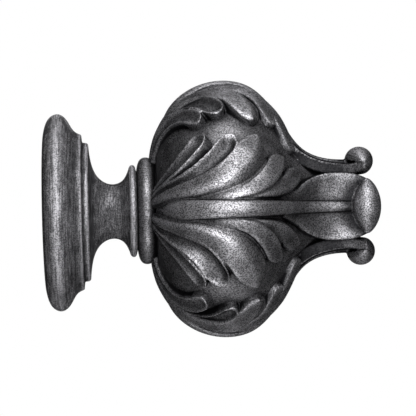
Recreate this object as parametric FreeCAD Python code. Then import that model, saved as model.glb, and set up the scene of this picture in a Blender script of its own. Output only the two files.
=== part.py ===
"""Curtain pole finial: a turned collar and neck that slip over a 50 mm pole, and a cast
bulb wrapped in four acanthus leaves whose tips curl outward.

Frame, in mm: X runs along the pole from the mouth of the socket (X = 0) to the curled
tips, Z is up, and the first leaf faces -Y. The origin is the centre of the socket's mouth.
"""
import FreeCAD, Part
import math
import os

from FreeCAD import Vector

# Pole socket and fixing
POLE_DIA = 50.0             # the pole the collar slips over
SOCKET_CLEARANCE = 0.25     # radial room between pole and socket
SOCKET_DEPTH = 10.0
INSERT_RADIUS = 5.5         # metal bush for the hanger bolt
INSERT_LENGTH = 13.0
THREAD_RADIUS = 3.4         # tapping size of M8

# Turned collar and neck
BACK_RADIUS = 30.6          # flat back face, out to the start of the rounding
CREST_RADIUS = 37.5
CREST_X = 5.5
STEP_X = 14.2               # end of the ogee
STEP_RADIUS = 29.6
DISC_RADIUS = 26.4
DISC_END_X = 16.6
NECK_RADIUS = 10.4
NECK_X = 25.8
RING_RADIUS = 17.6
SEAM_X = 34.8               # joint between the turned neck and the cast bulb
SEAM_RADIUS = 15.0

# Cast bulb
SPIGOT_RADIUS = 5.0
SPIGOT_LENGTH = 8.5
BEAD_RADIUS = 20.4
BEAD_X = 38.4
BEAD_HALF = 3.5
CORE = [                    # (X, radius) of the smooth bulb under the leaves and the bud at its end
    (40.9, 17.0), (42.6, 23.0), (45.2, 28.6), (49.9, 34.6), (56.7, 39.3), (68.0, 42.4), (77.8, 40.2),
    (85.1, 34.0), (91.4, 25.2), (97.3, 18.9), (105.6, 14.2), (113.4, 12.0), (117.6, 11.6), (121.4, 9.6),
    (123.9, 6.0),
]

# Leaves
LEAF_COUNT = 4
SINK = 2.5                  # how far the foot of a lobe is buried in the bulb
RIB_TOP = [                 # (X, radius) along the crest of the rib down the middle of a leaf
    (40.5, 17.0), (44.2, 31.5), (47.6, 38.9), (55.6, 45.9), (68.2, 49.4), (78.5, 46.9), (85.4, 41.0),
    (92.2, 31.2), (99.2, 22.2), (103.8, 19.7), (110.7, 18.2), (115.9, 18.0),
]
TONGUE = [                  # (X, half width) of the tongue that ends a leaf
    (88.0, 3.0), (95.4, 6.6), (100.2, 10.4), (105.6, 12.4), (110.5, 12.7), (115.4, 12.4), (119.5, 11.0),
]
TONGUE_UNDER_RIB = 1.3      # face of the tongue below the crest of the rib
TONGUE_DISH = 0.9           # depth of the hollow on each side of the rib
CURL_X = 120.5              # hook that ends the tongue: a drawn-out roll with a hollow under its lip
CURL_RADIAL = 17.4
CURL_RADIUS = 5.4
CURL_HALF = 11.2
HOLLOW_BACK = 3.5           # middle of the hollow, back from the middle of the roll
HOLLOW_RADIUS = 1.9


class Profile:
    """Top of a lobe across its width, q running from 1 on the root's side to -1.

    crest   q of the highest line
    near    height at q = 1, as a share of the height at the crest
    far     height at q = -1
    hollow  depth of the scoop between the sides
    tilt    rise toward the root (+) or toward the leaf's tip (-)
    """

    def __init__(self, crest, near, far, hollow, tilt):
        self.crest = crest
        self.near = near
        self.far = far
        self.hollow = hollow
        self.tilt = tilt

    def lift(self, q):
        """Share of the lobe's height at q: two curves that meet at the crest, less the scoop."""
        up = (1.0 - self.near) * (max(q - self.crest, 0.0) / (1.0 - self.crest)) ** 1.6
        down = (1.0 - self.far) * (max(self.crest - q, 0.0) / (1.0 + self.crest)) ** 1.6
        return 1.0 - up - down + self.tilt * q - self.hollow * (1.0 - q * q) * (1.0 - 0.35 * q)


class Lobe:
    """One lobe of a leaf.

    spine   four points (X, degrees from the rib) along the lobe's middle, from root to tip
    width   greatest half width
    root    half width at the root, as a share of the greatest
    heights height over the bulb at the root, in the middle and at the tip
    profile the top across its width
    """

    def __init__(self, spine, width, root, heights, profile):
        self.spine = spine
        self.width = width
        self.root = root
        self.heights = heights
        self.profile = profile


LOW_SCOOP = Profile(0.0, 1.0, 1.0, 0.60, -0.25)
SCOOP = Profile(0.0, 1.0, 1.0, 0.62, 0.0)
FULL = Profile(-0.1, 0.62, 0.25, 0.0, 0.0)
KEELED = Profile(-0.4, 0.6, 0.2, 0.0, 0.0)

# The two sides of a leaf differ a little, as they do on the carved model.
UPPER_LOBES = [
    Lobe([(41.4, 17.5), (47.6, 22.4), (53.8, 29.4), (59.4, 40.0)], 3.4, 0.45, (1.6, 3.2, 3.2), LOW_SCOOP),
    Lobe([(41.4, 12.0), (51.0, 14.6), (61.5, 21.8), (69.2, 37.0)], 3.6, 0.35, (1.8, 4.0, 3.2), SCOOP),
    Lobe([(41.4, 7.8), (52.7, 8.8), (68.0, 15.6), (77.3, 38.8)], 6.2, 0.30, (1.8, 5.0, 3.2), FULL),
    Lobe([(58.7, 5.0), (72.0, 7.2), (80.2, 15.0), (86.0, 33.0)], 4.2, 0.45, (4.0, 5.0, 3.0), KEELED),
    Lobe([(69.0, 5.0), (80.5, 8.0), (87.6, 15.5), (94.0, 34.0)], 3.8, 0.45, (4.0, 4.8, 2.8), KEELED),
]
LOWER_LOBES = [
    Lobe([(41.4, 17.5), (47.2, 22.9), (53.2, 30.0), (58.8, 42.0)], 3.2, 0.45, (1.6, 3.2, 3.2), LOW_SCOOP),
    Lobe([(41.4, 13.0), (49.3, 15.4), (58.4, 22.6), (65.2, 39.0)], 4.4, 0.35, (1.8, 4.0, 3.2), SCOOP),
    Lobe([(41.4, 8.0), (52.3, 8.8), (66.8, 16.0), (76.4, 42.0)], 6.3, 0.30, (1.8, 5.0, 3.2), FULL),
    Lobe([(58.7, 4.5), (71.6, 6.7), (79.1, 14.1), (84.4, 32.5)], 4.1, 0.45, (4.0, 5.0, 3.0), KEELED),
    Lobe([(68.5, 5.0), (79.7, 8.2), (86.4, 16.5), (92.5, 34.0)], 3.8, 0.45, (4.0, 4.8, 2.8), KEELED),
]


def interpolate(points, x):
    """Smooth curve through (x, y) points, with slopes set from the points on either side."""
    last = len(points) - 2
    i = 0
    while i < last and x > points[i + 1][0]:
        i += 1

    def slope(k):
        k0 = max(k - 1, 0)
        k1 = min(k + 1, len(points) - 1)
        return (points[k1][1] - points[k0][1]) / (points[k1][0] - points[k0][0])

    x0, y0 = points[i]
    x1, y1 = points[i + 1]
    step = x1 - x0
    t = min(max((x - x0) / step, 0.0), 1.0)
    rise = (2 * t**3 - 3 * t**2 + 1) * y0 + (3 * t**2 - 2 * t**3) * y1
    return rise + step * ((t**3 - 2 * t**2 + t) * slope(i) + (t**3 - t**2) * slope(i + 1))


def through(points, t):
    """Point at t on the cubic curve that meets four points at t = 0, 1/3, 2/3 and 1."""
    a, b, c = t - 1.0 / 3, t - 2.0 / 3, t - 1.0
    weights = (-4.5 * a * b * c, 13.5 * t * b * c, -13.5 * t * a * c, 4.5 * t * a * b)
    return tuple(sum(w * p[k] for w, p in zip(weights, points)) for k in (0, 1))


def spline(points):
    """Edge of a smooth curve through (x, y) points in the XY plane."""
    curve = Part.BSplineCurve()
    curve.interpolate([Vector(x, y, 0) for x, y in points])
    return curve.toShape()


def line(a, b):
    """Straight edge between two (x, y) points in the XY plane."""
    return Part.makeLine(Vector(a[0], a[1], 0), Vector(b[0], b[1], 0))


def arc(a, b, c):
    """Circular edge from a to c by way of b, (x, y) points in the XY plane."""
    return Part.Arc(*(Vector(p[0], p[1], 0) for p in (a, b, c))).toShape()


def revolve(edges):
    """Solid turned about X from the closed outline that the edges make."""
    face = Part.Face(Part.Wire(edges))
    return face.revolve(Vector(0, 0, 0), Vector(1, 0, 0), 360)


def on_core(x, angle):
    """Point on the bulb at X and degrees from the -Y side toward +Z, and the outward normal there."""
    turn = math.radians(angle)
    radius = interpolate(CORE, x)
    rise = (interpolate(CORE, x + 0.05) - interpolate(CORE, x - 0.05)) / 0.1
    point = Vector(x, -radius * math.cos(turn), radius * math.sin(turn))
    normal = Vector(-rise, -math.cos(turn), math.sin(turn)).normalize()
    return point, normal


def section(point, side, normal, half, height, profile):
    """Closed outline across a lobe: a rounded or scooped top, two steep walls and a buried foot."""
    top = []
    for q in (1.0, 0.72, 0.36, 0.0, -0.36, -0.72, -1.0):
        top.append(point + side * (q * half) + normal * (height * profile.lift(q)))
    foot = [point + side * (q * half * 1.06) - normal * SINK for q in (-1.0, 1.0)]
    return outline(top, foot)


def outline(top, foot):
    """Closed wire: a smooth curve through the top points, a wall at each end and a straight foot."""
    curve = Part.BSplineCurve()
    curve.interpolate(top)
    return Part.Wire([
        curve.toShape(),
        Part.makeLine(top[-1], foot[0]),
        Part.makeLine(foot[0], foot[1]),
        Part.makeLine(foot[1], top[0]),
    ])


def crested(top, foot):
    """Closed wire like outline, with two curves for the top that meet on the line of the crest."""
    middle = len(top) // 2
    halves = []
    for points in (top[:middle + 1], top[middle:]):
        curve = Part.BSplineCurve()
        curve.interpolate(points)
        halves.append(curve.toShape())
    return Part.Wire(halves + [
        Part.makeLine(top[-1], foot[0]),
        Part.makeLine(foot[0], foot[1]),
        Part.makeLine(foot[1], top[0]),
    ])


def lobe_solid(lobe):
    """Lobe laid along its spine on the bulb, widening from the root and closing at a round tip."""
    wires = []
    for t in (0.0, 0.14, 0.28, 0.42, 0.56, 0.70, 0.84, 0.98):
        point, normal = on_core(*through(lobe.spine, t))
        ahead = on_core(*through(lobe.spine, t + 0.01))[0]
        behind = on_core(*through(lobe.spine, t - 0.01))[0]
        side = normal.cross(ahead - behind).normalize()
        swell = lobe.root + (1.0 - lobe.root) * math.sin(math.pi / 2 * min(t / 0.8, 1.0)) ** 1.5
        close = math.sqrt(1.0 - max((t - 0.82) / 0.18, 0.0) ** 2)
        root, middle, tip = lobe.heights
        height = root * (1 - t) * (1 - 2 * t) + 4 * middle * t * (1 - t) + tip * t * (2 * t - 1)
        wires.append(section(point, side, normal, lobe.width * swell * close, height, lobe.profile))
    return Part.makeLoft(wires, True)


def strip_solid(stations, shape):
    """Solid down the middle of a leaf, square to the line of the rib's crest.

    shape(x) gives the half width, the depth of the top under the crest, the drop of its two
    sides, the hollow between crest and side and the depth of the foot under the top.
    """
    wires = []
    for x in stations:
        half, under, drop, dish, depth = shape(x)
        bound = min(x, RIB_TOP[-1][0])
        rise = (interpolate(RIB_TOP, bound + 0.1) - interpolate(RIB_TOP, bound - 0.1)) / 0.2
        normal = Vector(-rise, -1.0, 0).normalize()
        crest = Vector(x, -interpolate(RIB_TOP, bound), 0)
        top = []
        for q in (1.0, 0.75, 0.5, 0.25, 0.0, -0.25, -0.5, -0.75, -1.0):
            below = under + drop * q * q + dish * math.sin(math.pi * abs(q)) ** 2
            top.append(crest - normal * below + Vector(0, 0, q * half))
        foot = [crest - normal * (under + depth) + Vector(0, 0, q * half) for q in (-1.0, 1.0)]
        wires.append(crested(top, foot))
    return Part.makeLoft(wires, True)


def rib_shape(x):
    """Round rib: broad at the bead, fine at the tip."""
    share = (x - 42.0) / 74.5
    return 4.0 - 2.2 * share, 0.0, 2.0 - 0.9 * share, 0.0, 3.2


def body_shape(x):
    """Fleshy middle of the leaf that the lobes spring from."""
    half = 4.6 + 2.6 * math.sin(math.pi * (x - 42.0) / 55.0)
    return half, 2.5, 2.0, 0.0, 6.0


def tongue_shape(x):
    """Broad tongue beyond the last lobe, slightly arched, each half a little hollow."""
    dish = TONGUE_DISH * min(max((x - 92.0) / 10.0, 0.0), 1.0)
    return interpolate(TONGUE, x), TONGUE_UNDER_RIB, 2.0, dish, 5.2


def curl_solid():
    """Hook at the end of the tongue: a roll that narrows to its ends, hollowed under its lip."""
    points = []
    for u in (-0.97, -0.85, -0.6, -0.3, 0.0, 0.3, 0.6, 0.85, 0.97):
        points.append((CURL_HALF * u, CURL_RADIUS * math.sqrt(1.0 - u * u)))
    start, end = points[0], points[-1]
    roll = revolve([
        line((start[0], 0), start),
        spline(points),
        line(end, (end[0], 0)),
        line((end[0], 0), (start[0], 0)),
    ])
    roll.rotate(Vector(0, 0, 0), Vector(0, 1, 0), 90)
    roll.translate(Vector(CURL_X, -CURL_RADIAL, 0))
    under_lip = Vector(CURL_X - HOLLOW_BACK, -CURL_RADIAL - 0.2, -CURL_HALF)
    return roll.cut(Part.makeCylinder(HOLLOW_RADIUS, 2 * CURL_HALF, under_lip, Vector(0, 0, 1)))


def fused(pieces):
    """Pieces joined into one solid, one after another in the order given."""
    whole = pieces[0]
    for piece in pieces[1:]:
        whole = whole.fuse(piece)
    return whole


def leaf_solid():
    """The whole leaf that faces -Y: rib, body, tongue, curl and five lobes on each side."""
    pieces = [
        strip_solid((41.0, 44.5, 52.0, 65.5, 78.0, 87.0, 94.5, 103.0, 115.5), rib_shape),
        strip_solid((45.5, 52.0, 62.5, 74.5, 85.0, 94.0), body_shape),
        strip_solid((89.0, 94.0, 99.0, 104.5, 111.0, 115.5, 119.5), tongue_shape),
        curl_solid(),
    ]
    for lobe in reversed(UPPER_LOBES):
        pieces.append(lobe_solid(lobe))
    for lobe in reversed(LOWER_LOBES):
        pieces.append(lobe_solid(lobe).mirror(Vector(0, 0, 0), Vector(0, 0, 1)))
    return fused(pieces)


def leaf_bulb():
    """Cast ornament: spigot, bead, smooth bulb and the four leaves around it."""
    bead_end = BEAD_X + BEAD_HALF
    edges = [
        line((SEAM_X - SPIGOT_LENGTH, 0), (SEAM_X - SPIGOT_LENGTH, SPIGOT_RADIUS)),
        line((SEAM_X - SPIGOT_LENGTH, SPIGOT_RADIUS), (SEAM_X, SPIGOT_RADIUS)),
        line((SEAM_X, SPIGOT_RADIUS), (SEAM_X, SEAM_RADIUS)),
        spline([
            (SEAM_X, SEAM_RADIUS), (BEAD_X - BEAD_HALF * 0.88, BEAD_RADIUS - 2.6),
            (BEAD_X - BEAD_HALF * 0.5, BEAD_RADIUS - 0.5), (BEAD_X, BEAD_RADIUS),
            (BEAD_X + BEAD_HALF * 0.5, BEAD_RADIUS - 0.5), (bead_end, BEAD_RADIUS - 2.4),
        ]),
        line((bead_end, BEAD_RADIUS - 2.4), (bead_end, 0)),
        line((bead_end, 0), (SEAM_X - SPIGOT_LENGTH, 0)),
    ]
    bead = revolve(edges)
    start, end = CORE[0], CORE[-1]
    core = revolve([
        line((start[0], 0), start),
        spline(CORE),
        arc(end, (end[0] + 1.1, end[1] * 0.7), (end[0] + 1.6, end[1] * 0.3)),
        line((end[0] + 1.6, end[1] * 0.3), (end[0] + 1.6, 0)),
        line((end[0] + 1.6, 0), (start[0], 0)),
    ])
    leaf = leaf_solid()
    leaves = []
    for k in range(LEAF_COUNT):
        turned = leaf.copy()
        turned.rotate(Vector(0, 0, 0), Vector(1, 0, 0), k * 360.0 / LEAF_COUNT)
        leaves.append(turned)
    return fused([core] + leaves + [bead])


def turned_base():
    """Collar with the pole socket, stepped disc, hollow neck and thin ring, turned in one piece."""
    socket_radius = POLE_DIA / 2 + SOCKET_CLEARANCE
    insert_end = SOCKET_DEPTH + INSERT_LENGTH
    bore_end = SEAM_X - SPIGOT_LENGTH - 0.5
    disc_foot = (DISC_END_X + 0.2, DISC_RADIUS - 1.4)
    edges = [
        line((0, socket_radius), (0, BACK_RADIUS)),
        spline([
            (0, BACK_RADIUS), (1.1, 34.4), (3.1, 36.8), (CREST_X, CREST_RADIUS), (7.9, 36.3), (10.2, 32.9),
            (12.1, 30.5), (STEP_X, STEP_RADIUS),
        ]),
        line((STEP_X, STEP_RADIUS), (STEP_X + 0.3, DISC_RADIUS + 0.2)),
        line((STEP_X + 0.3, DISC_RADIUS + 0.2), (DISC_END_X - 0.8, DISC_RADIUS)),
        arc((DISC_END_X - 0.8, DISC_RADIUS), (DISC_END_X - 0.1, DISC_RADIUS - 0.5), disc_foot),
        spline([
            disc_foot, (18.0, 17.6), (20.4, 13.0), (NECK_X, NECK_RADIUS), (29.3, 11.6), (31.7, 15.6),
        ]),
        arc((31.7, 15.6), (33.0, RING_RADIUS), (34.3, 16.9)),
        line((34.3, 16.9), (SEAM_X, SEAM_RADIUS)),
        line((SEAM_X, SEAM_RADIUS), (SEAM_X, SPIGOT_RADIUS)),
        line((SEAM_X, SPIGOT_RADIUS), (bore_end, SPIGOT_RADIUS)),
        line((bore_end, SPIGOT_RADIUS), (bore_end, 0)),
        line((bore_end, 0), (insert_end, 0)),
        line((insert_end, 0), (insert_end, INSERT_RADIUS)),
        line((insert_end, INSERT_RADIUS), (SOCKET_DEPTH, INSERT_RADIUS)),
        line((SOCKET_DEPTH, INSERT_RADIUS), (SOCKET_DEPTH, socket_radius)),
        line((SOCKET_DEPTH, socket_radius), (0, socket_radius)),
    ]
    return revolve(edges)


def threaded_insert():
    """Metal bush pressed into the neck, flush with the floor of the socket."""
    start, end = SOCKET_DEPTH, SOCKET_DEPTH + INSERT_LENGTH
    edges = [
        line((start, THREAD_RADIUS), (start, INSERT_RADIUS)),
        line((start, INSERT_RADIUS), (end, INSERT_RADIUS)),
        line((end, INSERT_RADIUS), (end, THREAD_RADIUS)),
        line((end, THREAD_RADIUS), (start, THREAD_RADIUS)),
    ]
    return revolve(edges)


def main():
    """Build each piece and write it to the parts folder."""
    os.makedirs("parts", exist_ok=True)
    pieces = {
        "turned_base": turned_base(),
        "threaded_insert": threaded_insert(),
        "leaf_bulb": leaf_bulb(),
    }
    for name, shape in pieces.items():
        shape.exportStep("parts/" + name + ".step")


main()
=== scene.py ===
"""Curtain pole finial: turned collar and neck, cast bulb and four acanthus leaves.

Sizes inside the classes are in millimetres and become metres when a mesh is made. X runs along
the pole from the mouth of the socket to the curled tips, Z is up, and the first leaf faces -Y.
"""

import logging
import math
from dataclasses import dataclass
from enum import Enum
from typing import Any, Sequence

import bpy
import numpy as np
from bpy.types import Material, Mesh, Node as ShaderNode, NodeSocket as Socket, NodeTree as Tree, Object
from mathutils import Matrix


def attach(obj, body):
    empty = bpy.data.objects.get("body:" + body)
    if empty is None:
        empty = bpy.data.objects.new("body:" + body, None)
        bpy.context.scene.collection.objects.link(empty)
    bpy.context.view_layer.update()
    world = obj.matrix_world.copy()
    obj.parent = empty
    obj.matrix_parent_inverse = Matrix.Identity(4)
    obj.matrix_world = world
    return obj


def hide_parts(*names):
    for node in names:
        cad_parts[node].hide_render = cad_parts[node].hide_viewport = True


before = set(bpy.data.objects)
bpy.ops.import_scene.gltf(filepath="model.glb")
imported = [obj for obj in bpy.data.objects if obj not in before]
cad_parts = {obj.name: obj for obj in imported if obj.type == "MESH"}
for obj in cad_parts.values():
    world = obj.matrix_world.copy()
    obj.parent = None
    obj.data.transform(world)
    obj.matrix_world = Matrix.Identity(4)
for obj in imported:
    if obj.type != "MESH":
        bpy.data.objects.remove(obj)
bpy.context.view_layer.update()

LOG = logging.getLogger("finial")
MM = 0.001
BLACK_PAINT, SILVER_WAX = "#171719", "#c4c3c7"
OUTLINE_STEP = 0.1
LINE_STEPS = 400
ACROSS = np.linspace(1.0, -1.0, 33)
NO_QUADS, NO_TRIANGLES = np.zeros((0, 4), int), np.zeros((0, 3), int)
Array = np.ndarray
Pair = tuple[float, float]
Triple = tuple[float, float, float]
Skin = tuple[Array, Array, Array]  # vertices, quads, triangles


class Node(str, Enum):
    """Solids of the part that the pieces stand for."""

    BASE = "turned_base"
    BULB = "leaf_bulb"
    INSERT = "threaded_insert"


# Curves and meshes


def smoothstep(low: float, high: float, x: Array) -> Array:
    """Rise of x from 0 at low to 1 at high along 3t^2 - 2t^3, t running evenly between them."""
    t = np.clip((x - low) / (high - low), 0.0, 1.0)
    return t * t * (3.0 - 2.0 * t)


def hermite(points: Sequence[Pair], x: Array) -> Array:
    """Cubic curve y(x) through points, its slope at each set by the two beside it.

    Args:
        points: (x, y) pairs with rising x.
        x: where to read the curve.

    Returns:
        The heights at x.
    """
    xs, ys = np.array(points, float).T
    k = np.arange(len(xs))
    before, after = np.maximum(k - 1, 0), np.minimum(k + 1, len(xs) - 1)
    slope = (ys[after] - ys[before]) / (xs[after] - xs[before])
    i = np.clip(np.searchsorted(xs, x) - 1, 0, len(xs) - 2)
    step = xs[i + 1] - xs[i]
    t = np.clip((x - xs[i]) / step, 0.0, 1.0)
    rise = (2 * t**3 - 3 * t**2 + 1) * ys[i] + (3 * t**2 - 2 * t**3) * ys[i + 1]
    return rise + step * ((t**3 - 2 * t**2 + t) * slope[i] + (t**3 - t**2) * slope[i + 1])


def spline(points: Sequence[Pair], count: int) -> Array:
    """Natural cubic spline through points, with the chord length as its parameter.

    Args:
        points: (x, r) pairs in order.
        count: how many points to return.

    Returns:
        count points, evenly spaced along the parameter, as rows of (x, r).
    """
    p = np.array(points, float)
    n = len(p)
    knots = np.concatenate([[0.0], np.cumsum(np.linalg.norm(np.diff(p, axis=0), axis=1))])
    h = np.diff(knots)
    system = np.eye(n)
    inner = np.arange(1, n - 1)
    system[inner, inner - 1], system[inner, inner + 1] = h[:-1], h[1:]
    system[inner, inner] = 2.0 * (h[:-1] + h[1:])
    bend = np.zeros_like(p)
    bend[1:-1] = 6.0 * (np.diff(p[1:], axis=0) / h[1:, None] - np.diff(p[:-1], axis=0) / h[:-1, None])
    curve = np.linalg.solve(system, bend)
    s = np.linspace(0.0, knots[-1], count)
    i = np.clip(np.searchsorted(knots, s) - 1, 0, n - 2)
    a, b, w = (knots[i + 1] - s)[:, None], (s - knots[i])[:, None], h[i][:, None]
    bent = (a**3 * curve[i] + b**3 * curve[i + 1]) / (6.0 * w)
    return bent + (p[i] / w - curve[i] * w / 6.0) * a + (p[i + 1] / w - curve[i + 1] * w / 6.0) * b


def arc(centre: Pair, radius: float, start: float, end: float, count: int) -> Array:
    """Points (x, r) on a circle from one angle to another, in degrees from +X toward +r."""
    turn = np.radians(np.linspace(start, end, count))
    return np.stack([centre[0] + radius * np.cos(turn), centre[1] + radius * np.sin(turn)], axis=1)


def unit(vectors: Array) -> Array:
    """Vectors along the last axis scaled to length 1."""
    return vectors / np.maximum(np.linalg.norm(vectors, axis=-1, keepdims=True), 1e-9)


def link(name: str, data: Any) -> Object:
    """Object in the scene that holds a mesh, a lamp or a camera."""
    made = bpy.data.objects.new(name, data)
    bpy.context.scene.collection.objects.link(made)
    return made


def new_object(name: str, vertices: Array, quads: Array, triangles: Array) -> Object:
    """Mesh object with smooth faces from arrays in millimetres.

    Args:
        name: the object's name.
        vertices: one row of x, y, z for each vertex.
        quads: four vertex numbers a row.
        triangles: three vertex numbers a row.

    Returns:
        The object, linked to the scene, its place in its mesh.
    """
    mesh = bpy.data.meshes.new(name)
    mesh.from_pydata((vertices * MM).tolist(), [], quads.tolist() + triangles.tolist())
    mesh.polygons.foreach_set("use_smooth", np.ones(len(mesh.polygons), bool))
    mesh.update()
    return link(name, mesh)


def grid_faces(rows: int, columns: int) -> Array:
    """Quads between the rows of a grid whose columns close on themselves.

    Args:
        rows: number of rows.
        columns: number of vertices in a row.

    Returns:
        Four vertex numbers a row.
    """
    i, j = np.meshgrid(np.arange(rows - 1), np.arange(columns), indexing="ij")
    k = (j + 1) % columns
    here, above = i * columns, (i + 1) * columns
    return np.stack([here + j, above + j, above + k, here + k], axis=-1).reshape(-1, 4)


def fan(rim: Array, hub: int, flip: bool) -> Array:
    """Triangles that join a closed rim of vertices to one vertex at its middle.

    Args:
        rim: numbers of the rim's vertices, in order.
        hub: number of the vertex at its middle.
        flip: whether the triangles run against the rim.

    Returns:
        Three vertex numbers a row.
    """
    after = np.roll(rim, -1)
    pair = (after, rim) if flip else (rim, after)
    return np.stack([pair[0], pair[1], np.full_like(rim, hub)], axis=-1)


def tube(rings: Array) -> Skin:
    """Closed skin over a stack of outlines, with a fan of triangles over each end.

    Args:
        rings: outlines as an array of (outline, point, xyz).

    Returns:
        The skin.
    """
    rows, columns = rings.shape[:2]
    hubs = np.stack([rings[0].mean(axis=0), rings[-1].mean(axis=0)])
    vertices = np.concatenate([rings.reshape(-1, 3), hubs])
    first, last = np.arange(columns), np.arange(columns) + (rows - 1) * columns
    caps = np.concatenate([fan(first, rows * columns, True), fan(last, rows * columns + 1, False)])
    return vertices, grid_faces(rows, columns), caps


def turned(outline: Array, segments: int) -> Array:
    """Rings about X: (x, r) goes to (x, -r cos a, r sin a), a from 0 to 360 degrees.

    Args:
        outline: (x, r) points.
        segments: number of steps round the axis.

    Returns:
        An array of (point, step, xyz).
    """
    a = np.linspace(0.0, 2.0 * np.pi, segments, endpoint=False)
    x, r = outline[:, :1], outline[:, 1:]
    return np.stack([np.broadcast_to(x, (len(x), segments)), -r * np.cos(a), r * np.sin(a)], axis=-1)


def lathe(name: str, profile: Array, segments: int) -> Object:
    """Closed piece turned about X from an outline whose first and last points lie on the axis."""
    return new_object(name, *tube(turned(profile[1:-1], segments)))


def store(mesh: Mesh, name: str, values: Array) -> None:
    """Keeps one number for each vertex, under a name that the materials read."""
    mesh.attributes.new(name, "FLOAT", "POINT").data.foreach_set("value", values.astype(np.float32))


def mark_outline(made: Object, profile: Array, segments: int, reach: float, full: float,
                 facing: Array | None = None) -> None:
    """Stores on a turned piece how far each point is a ridge and how far it faces outward.

    A point's ridge (+) or crease (-) is how far it stands out of the average of the outline around
    it, weighed with a bell curve over the outline's length. The two points on the axis are neither.

    Args:
        made: the turned piece.
        profile: the outline it was turned from.
        segments: number of steps round the axis.
        reach: width of the bell curve in millimetres.
        full: height in millimetres that counts as a full ridge.
        facing: how far each point counts as facing outward, or None for the radial part of its normal.
    """
    walk = np.concatenate([[0.0], np.cumsum(np.linalg.norm(np.diff(profile, axis=0), axis=1))])
    even = np.linspace(0.0, walk[-1], int(walk[-1] / OUTLINE_STEP))
    line = np.stack([np.interp(even, walk, profile[:, k]) for k in (0, 1)], axis=1)
    steps = np.arange(-3.0 * reach, 3.0 * reach + OUTLINE_STEP / 2, OUTLINE_STEP)
    bell = np.exp(-0.5 * (steps / reach) ** 2)
    padded = np.pad(line, ((len(bell) // 2, len(bell) // 2), (0, 0)), "edge")
    around = np.stack([np.convolve(padded[:, k], bell / bell.sum(), "valid") for k in (0, 1)], axis=1)
    along = unit(np.gradient(line, axis=0))
    stand = (line[:, 1] - around[:, 1]) * along[:, 0] - (line[:, 0] - around[:, 0]) * along[:, 1]
    ridge = np.clip(np.interp(walk, even, stand) / full, -1.0, 1.0)
    ridge[[0, -1]] = 0.0
    if facing is None:
        facing = np.clip(np.interp(walk, even, along[:, 0]), 0.0, 1.0)
    for name, values in (("ridge", ridge), ("facing", facing)):
        store(made.data, name, np.concatenate([np.repeat(values[1:-1], segments), values[[0, -1]]]))


def join(skins: Sequence[Skin]) -> Skin:
    """Several skins as one.

    Args:
        skins: the skins.

    Returns:
        All vertices, with the numbers in quads and triangles moved on.
    """
    starts = np.cumsum([0] + [len(v) for v, _, _ in skins[:-1]])
    vertices = np.concatenate([v for v, _, _ in skins])
    quads = np.concatenate([q + s for (_, q, _), s in zip(skins, starts)])
    triangles = np.concatenate([t + s for (_, _, t), s in zip(skins, starts)])
    return vertices, quads, triangles


# Finishes


def linear(code: str) -> tuple[float, float, float, float]:
    """Linear colour from an sRGB one.

    Args:
        code: hex value such as "#8a8a8c".

    Returns:
        Red, green, blue and full alpha.
    """
    value = np.array([int(code[k:k + 2], 16) for k in (1, 3, 5)]) / 255.0
    flat = np.where(value <= 0.04045, value / 12.92, ((value + 0.055) / 1.055) ** 2.4)
    return (float(flat[0]), float(flat[1]), float(flat[2]), 1.0)


def add_node(tree: Tree, kind: str, settings: dict[str, Any], inputs: dict[Any, Any]) -> ShaderNode:
    """Adds one node with its settings, socket values and links.

    Args:
        tree: the node tree.
        kind: the node's class name.
        settings: attributes to set on the node.
        inputs: socket name or number to a value, or to an output socket to link from.

    Returns:
        The node.
    """
    node = tree.nodes.new(kind)
    for key, value in settings.items():
        setattr(node, key, value)
    for key, value in inputs.items():
        if isinstance(value, Socket):
            tree.links.new(value, node.inputs[key])
        else:
            node.inputs[key].default_value = value
    return node


@dataclass(frozen=True)
class Ramp:
    """Smooth map of a value: low to high goes to bottom to top, and stays there beyond."""

    low: float
    high: float
    bottom: float
    top: float


def add_ramp(tree: Tree, source: Socket, ramp: Ramp) -> Socket:
    """Output of a node that maps a value along a ramp."""
    return add_node(tree, "ShaderNodeMapRange", {"interpolation_type": "SMOOTHSTEP"},
                    {0: source, 1: ramp.low, 2: ramp.high, 3: ramp.bottom, 4: ramp.top}).outputs[0]


def add_attribute(tree: Tree, name: str) -> Socket:
    """Output of a node that reads a number stored on the mesh."""
    return add_node(tree, "ShaderNodeAttribute", {"attribute_name": name}, {}).outputs["Fac"]


def combine(tree: Tree, operation: str, first: Socket, second: Any) -> Socket:
    """Sum, product or other Math operation of two values."""
    return add_node(tree, "ShaderNodeMath", {"operation": operation}, {0: first, 1: second}).outputs[0]


def layer(tree: Tree, first: tuple[Socket, Ramp], *more: tuple[str, Socket, Ramp]) -> Socket:
    """Share of silver, built up from values that each go along a ramp.

    Args:
        tree: the material's tree.
        first: the value to start from and its ramp.
        more: Math operation that brings in the next value, that value and its ramp.

    Returns:
        The share, 1 at most.
    """
    share = add_ramp(tree, *first)
    for operation, source, ramp in more:
        share = combine(tree, operation, share, add_ramp(tree, source, ramp))
    return combine(tree, "MINIMUM", share, 1.0)


def add_openness_wax_and_shade(tree: Tree, reach_mm: float) -> Socket:
    """Ambient occlusion, 1 in the open and falling toward 0 where walls stand within reach: painted
    shade in recesses, and the black that the wax leaves in hollows.
    """
    return add_node(tree, "ShaderNodeAmbientOcclusion", {"samples": 6},
                    {"Distance": reach_mm * MM}).outputs["AO"]


def add_mix(tree: Tree, share: Socket, first: Any, second: Any) -> Socket:
    """Colour between two, given as colours or outputs."""
    return add_node(tree, "ShaderNodeMix", {"data_type": "RGBA"},
                    {0: share, 6: first, 7: second}).outputs[2]


def add_bump(tree: Tree, shader: ShaderNode, height: Socket, strength: float,
             depth_mm: float) -> None:
    """Tilts a shader's normal by a height."""
    bump = add_node(tree, "ShaderNodeBump", {},
                    {"Height": height, "Strength": strength, "Distance": depth_mm * MM})
    tree.links.new(bump.outputs[0], shader.inputs["Normal"])


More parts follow.
